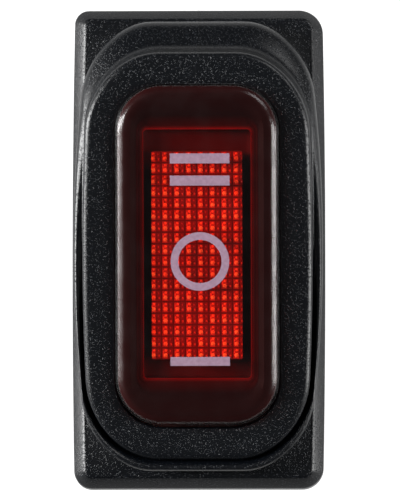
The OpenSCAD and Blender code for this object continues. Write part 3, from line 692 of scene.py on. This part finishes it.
ink = printed_ink()
ink_rows = [LENS_TOP + 0.002, LENS_TOP + INK_T]
points, faces = [], []
for y, half in BARS:
    ring = [(sx * BAR_HX + PRINT_X, y + sy * half) for sx, sy in [(1, -1), (1, 1), (-1, 1), (-1, -1)]]
    solid, closed = capped_loft([[(*p, z) for p in ring] for z in ink_rows], bottom=True)
    faces += [tuple(i + len(points) for i in face) for face in closed]
    points += solid
turn = [2 * math.pi * i / RING_STEPS for i in range(RING_STEPS)]
profile = [(RING_R, ink_rows[0]), (RING_R, ink_rows[1]), (RING_R - RING_STROKE, ink_rows[1]),
    (RING_R - RING_STROKE, ink_rows[0])]
ring_faces = loft_faces(len(profile), RING_STEPS, loop=True)
faces += [tuple(i + len(points) for i in face) for face in ring_faces]
points += [(PRINT_X + r * math.cos(a), RING_Y + r * math.sin(a), z) for r, z in profile for a in turn]
signs = make_piece("lens_print", points, faces, ink, LEVEL_TO_REST)
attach(signs, "rocker")
print("print faces", len(faces))


# %% [markdown]
# ## Plastics of the body and the inside
#
# The other pieces keep their CAD shape and take a finish by the slot that the record gives them. A
# moulded plastic shows three things: a faint mottle where the melt cooled unevenly, patches that are a
# little glossier, and the grain of the mould. One function makes them all, and what sets them apart is
# how strong each is. Glass-filled nylon is rough and grey-black, poured resin is smooth and wet, and
# acetal is milky because light gets into it, which is what Subsurface is for.

# %% Plastics
def moulded_plastic(name, dark, light, gloss, grain, relief, **settings):
    """gloss is the lowest and highest roughness, grain the size and relief the depth in millimetres."""
    material, tree = new_material(name)
    place = add(tree, "ShaderNodeTexCoord").outputs["Object"]
    mottle = add(tree, "ShaderNodeTexNoise", {"Vector": place}, Scale=1 / (2.5 * MM), Detail=4.0)
    tone = colour_ramp(tree, mottle.outputs["Fac"], [(0.3, dark), (0.7, light)])
    rough = add(tree, "ShaderNodeMapRange", {"Value": mottle.outputs["Fac"]}, From_Min=0.3, From_Max=0.7,
        To_Min=gloss[0], To_Max=gloss[1])
    skin = add(tree, "ShaderNodeTexNoise", {"Vector": place}, Scale=1 / (grain * MM), Detail=2.0)
    bump = add(tree, "ShaderNodeBump", {"Height": skin.outputs["Fac"]}, Strength=1.0,
        Distance=relief * MM)
    surface = add(tree, "ShaderNodeBsdfPrincipled", {"Base Color": tone,
        "Roughness": rough.outputs["Result"], "Normal": bump.outputs["Normal"]}, **settings)
    finish_surface(tree, surface)
    return material


nylon = moulded_plastic("glass_filled_nylon_moulded", "101113", "1A1B1E", (0.42, 0.55), 0.22, 0.03)
resin = moulded_plastic("black_epoxy_poured", "08080A", "0E0E10", (0.12, 0.22), 1.6, 0.05, IOR=1.55)
acetal = moulded_plastic("natural_acetal_moulded", "DAD8CC", "E8E6DC", (0.3, 0.38), 0.4, 0.01,
    Subsurface_Weight=0.3, Subsurface_Scale=0.5 * MM)
lamp_case = moulded_plastic("lamp_case_moulded", "D2D0C4", "E4E2D8", (0.15, 0.25), 0.3, 0.004,
    Subsurface_Weight=0.4, Subsurface_Scale=0.3 * MM)
glaze = moulded_plastic("resistor_body_glazed", "0C0C0D", "181819", (0.2, 0.35), 0.12, 0.006)
print("plastics", [m.name for m in (nylon, resin, acetal, lamp_case, glaze)])


# %% [markdown]
# ## Metals
#
# Strip and wire get fine lines from the rolls or the die. They run along one axis, so the noise that
# draws them is stretched that way, and it moves both the roughness and the bump. A slow noise tints the
# plating: bright tin goes a little yellow over brass, and bare copper goes brown.

# %% Metals
def worked_metal(name, fresh, aged, gloss, line, stretch):
    """gloss is the lowest and highest roughness, line the width of a line, stretch its length by axis."""
    material, tree = new_material(name)
    place = add(tree, "ShaderNodeTexCoord").outputs["Object"]
    drawn = add(tree, "ShaderNodeMapping", {"Vector": place}, Scale=[1 / s for s in stretch])
    lines = add(tree, "ShaderNodeTexNoise", {"Vector": drawn.outputs[0]}, Scale=1 / (line * MM),
        Detail=3.0)
    age = add(tree, "ShaderNodeTexNoise", {"Vector": place}, Scale=1 / (2.0 * MM), Detail=5.0)
    tone = colour_ramp(tree, age.outputs["Fac"], [(0.4, fresh), (0.8, aged)])
    rough = add(tree, "ShaderNodeMapRange", {"Value": lines.outputs["Fac"]}, From_Min=0.3, From_Max=0.7,
        To_Min=gloss[0], To_Max=gloss[1])
    bump = add(tree, "ShaderNodeBump", {"Height": lines.outputs["Fac"]}, Strength=0.6,
        Distance=0.006 * MM)
    surface = add(tree, "ShaderNodeBsdfPrincipled", {"Base Color": tone,
        "Roughness": rough.outputs["Result"], "Normal": bump.outputs["Normal"]}, Metallic=1.0)
    finish_surface(tree, surface)
    return material


tin = worked_metal("brass_strip_tin_plated", "D9D6CE", "C4BBA0", (0.22, 0.4), 0.08, (1, 1, 12))
silver = worked_metal("silver_alloy_headed", "E2E2E6", "C8C4BC", (0.25, 0.38), 0.1, (1, 1, 1))
steel = worked_metal("spring_steel_drawn", "C2C4C8", "9C9C9E", (0.2, 0.35), 0.05, (6, 6, 1))
copper = worked_metal("copper_alloy_rolled", "D69A6E", "A86A46", (0.28, 0.42), 0.08, (1, 14, 1))
print("metals", [m.name for m in (tin, silver, steel, copper)])


# %% [markdown]
# The lamp board is glass cloth in resin under green solder mask. The weave is two sets of waves at right
# angles, and it shows through the mask as a faint relief and a change of tone.

# %% Lamp board
WEAVE = 0.5


def solder_mask():
    material, tree = new_material("glass_cloth_laminate_green_mask")
    place = add(tree, "ShaderNodeTexCoord").outputs["Object"]
    threads = [
        add(tree, "ShaderNodeTexWave", {"Vector": place}, bands_direction=axis,
            Scale=1 / (WEAVE * MM) / 3.2, Distortion=0.4).outputs["Fac"]
        for axis in ("X", "Y")
    ]
    cloth = add(tree, "ShaderNodeMath", {0: threads[0], 1: threads[1]}, operation="MULTIPLY")
    tone = colour_ramp(tree, cloth.outputs[0], [(0.0, "0B3F22"), (1.0, "14572F")])
    bump = add(tree, "ShaderNodeBump", {"Height": cloth.outputs[0]}, Strength=0.5, Distance=0.01 * MM)
    surface = add(tree, "ShaderNodeBsdfPrincipled", {"Base Color": tone,
        "Normal": bump.outputs["Normal"]}, Roughness=0.3)
    finish_surface(tree, surface)
    return material


# %% Finishes of the CAD pieces, by slot
finishes = {
    "black_nylon": nylon, "black_rubber": rubber, "black_resin": resin, "tinned_brass": tin,
    "contact_silver": silver, "spring_steel": steel, "board_laminate": solder_mask(),
    "lamp_white": lamp_case, "resistor_black": glaze, "natural_acetal": acetal, "blade_copper": copper,
}
for node in nodes.values():
    for own in node.material_slots:
        if own.material.name in finishes:
            own.material = finishes[own.material.name]
print("finishes", len(finishes))


# %% [markdown]
# ## Springs
#
# Each coil stands between two bodies and is squeezed when they close. A copy of its CAD mesh is blended
# from the one to the other, so that the end turns stay on their seats and the turns between them close
# up or open out. The first two feed the lamp, and the third pushes the plunger out of the rocker.

# %% Coils
BLENDED = 0.9


def squeezed_coil(name, lower, upper, along):
    """The coil's length runs along that direction. lower and upper are the bodies at its two ends."""
    coil = bpy.data.objects.new(name + "_coil", nodes[name].data.copy())
    bpy.context.scene.collection.objects.link(coil)
    low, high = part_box(name)
    middle = (low + high) / 2
    reach = along * (high.z - low.z) / along.z * BLENDED / 2
    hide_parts(name)
    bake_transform(coil, lower, upper, start=middle - reach, end=middle + reach)


plunger_axis = Vector(next(j for j in frame["joints"] if j["name"] == "plunger_slide")["axis"])
squeezed_coil("lamp_spring_front", "base", "rocker", Vector((0, 0, 1)))
squeezed_coil("lamp_spring_rear", "base", "rocker", Vector((0, 0, 1)))
squeezed_coil("plunger_spring", "plunger", "rocker", plunger_axis)
print("plunger axis", [round(c, 3) for c in plunger_axis])


# %% [markdown]
# ## Camera, light and floor
#
# A long lens looks down on the switch from far away, a few degrees off square, towards the one-bar end
# and a little to the right. The black rubber needs bright strips at both sides to show its edges.

# %% Camera
VIEW_DOWN, VIEW_RIGHT = math.radians(5.5), math.radians(1.2)
DISTANCE = 0.5
FRAME_H = 0.03534

toward = Vector((math.sin(VIEW_RIGHT), -math.sin(VIEW_DOWN), math.cos(VIEW_DOWN))).normalized()
right = Vector((0, 1, 0)).cross(toward).normalized()
up = toward.cross(right)
target = Vector((0.1, -0.17, BEZEL_H)) * MM
camera_data = bpy.data.cameras.new("camera")
camera_data.sensor_width = 36
camera_data.lens = 36 * DISTANCE / FRAME_H
camera = bpy.data.objects.new("camera", camera_data)
turn_matrix = Matrix((right, up, toward)).transposed().to_4x4()
camera.matrix_world = Matrix.Translation(target + toward * DISTANCE) @ turn_matrix
bpy.context.scene.collection.objects.link(camera)
bpy.context.scene.camera = camera


# %% Floor and world
FLOOR_SIZE, FLOOR_GAP = 3.0, 0.0002
SEEN, MIRRORED = 0.88, 0.4
ROOM_LIGHT = 0.07
floor_mesh = bpy.data.meshes.new("floor")
half = FLOOR_SIZE / 2
floor_z = cad_box[0].z - FLOOR_GAP
floor_mesh.from_pydata([(-half, -half, floor_z), (half, -half, floor_z), (half, half, floor_z),
    (-half, half, floor_z)], [], [(0, 1, 2, 3)])
floor = bpy.data.objects.new("floor", floor_mesh)
bpy.context.scene.collection.objects.link(floor)
paper, tree = new_material("white_paper_sweep")
rays = add(tree, "ShaderNodeLightPath")
mirrored = add(tree, "ShaderNodeMath", {0: rays.outputs["Is Glossy Ray"],
    1: rays.outputs["Is Transmission Ray"]}, operation="MAXIMUM")
mirror_lift = add(tree, "ShaderNodeMath", {0: mirrored.outputs[0]}, operation="MULTIPLY")
mirror_lift.inputs[1].default_value = MIRRORED
lift = add(tree, "ShaderNodeMath", {0: rays.outputs["Is Camera Ray"], 2: mirror_lift.outputs[0]},
    operation="MULTIPLY_ADD")
lift.inputs[1].default_value = SEEN
white = add(tree, "ShaderNodeEmission", {"Strength": lift.outputs[0]}, Color=rgb("FFFFFF"))
diffuse = add(tree, "ShaderNodeBsdfDiffuse", Color=rgb("8A8A8A"))
both = add(tree, "ShaderNodeAddShader", {0: white.outputs[0], 1: diffuse.outputs[0]})
below = add(tree, "ShaderNodeNewGeometry").outputs["Backfacing"]
open_below = add(tree, "ShaderNodeMixShader", {"Fac": below, 1: both.outputs[0],
    2: add(tree, "ShaderNodeBsdfTransparent").outputs[0]})
finish_surface(tree, open_below)
floor_mesh.materials.append(paper)

world = bpy.data.worlds.new("studio")
bpy.context.scene.world = world
world.use_nodes = True
tree = world.node_tree
tree.nodes.clear()
rays = add(tree, "ShaderNodeLightPath")
lit = add(tree, "ShaderNodeBackground", Color=rgb("FFFFFF"), Strength=ROOM_LIGHT)
plain = add(tree, "ShaderNodeBackground", Color=rgb("FFFFFF"), Strength=1.0)
both = add(tree, "ShaderNodeMixShader", {"Fac": rays.outputs["Is Camera Ray"]})
tree.links.new(lit.outputs[0], both.inputs[1])
tree.links.new(plain.outputs[0], both.inputs[2])
add(tree, "ShaderNodeOutputWorld", {"Surface": both.outputs[0]})


# %% Lamps
def softbox(name, at, size, radiance):
    """An area lamp that faces the switch. at and size are metres, radiance is what its face shows."""
    data = bpy.data.lights.new(name, "AREA")
    data.shape = "RECTANGLE"
    data.size, data.size_y = size
    data.energy = radiance * math.pi * size[0] * size[1]
    lamp = bpy.data.objects.new(name, data)
    facing = Vector(at).to_track_quat("Z", "Y").to_matrix().to_4x4()
    lamp.matrix_world = Matrix.Translation(at) @ facing
    bpy.context.scene.collection.objects.link(lamp)


softbox("left_strip", (-0.5, 0.05, 0.06), (0.14, 1.0), 28.0)
softbox("right_strip", (0.5, -0.05, 0.07), (0.14, 0.9), 12.0)
softbox("fill", (0.32, 0.32, 0.4), (0.25, 0.25), 4.5)


# %% Colours as written, and the end
bpy.context.scene.view_settings.view_transform = "Standard"
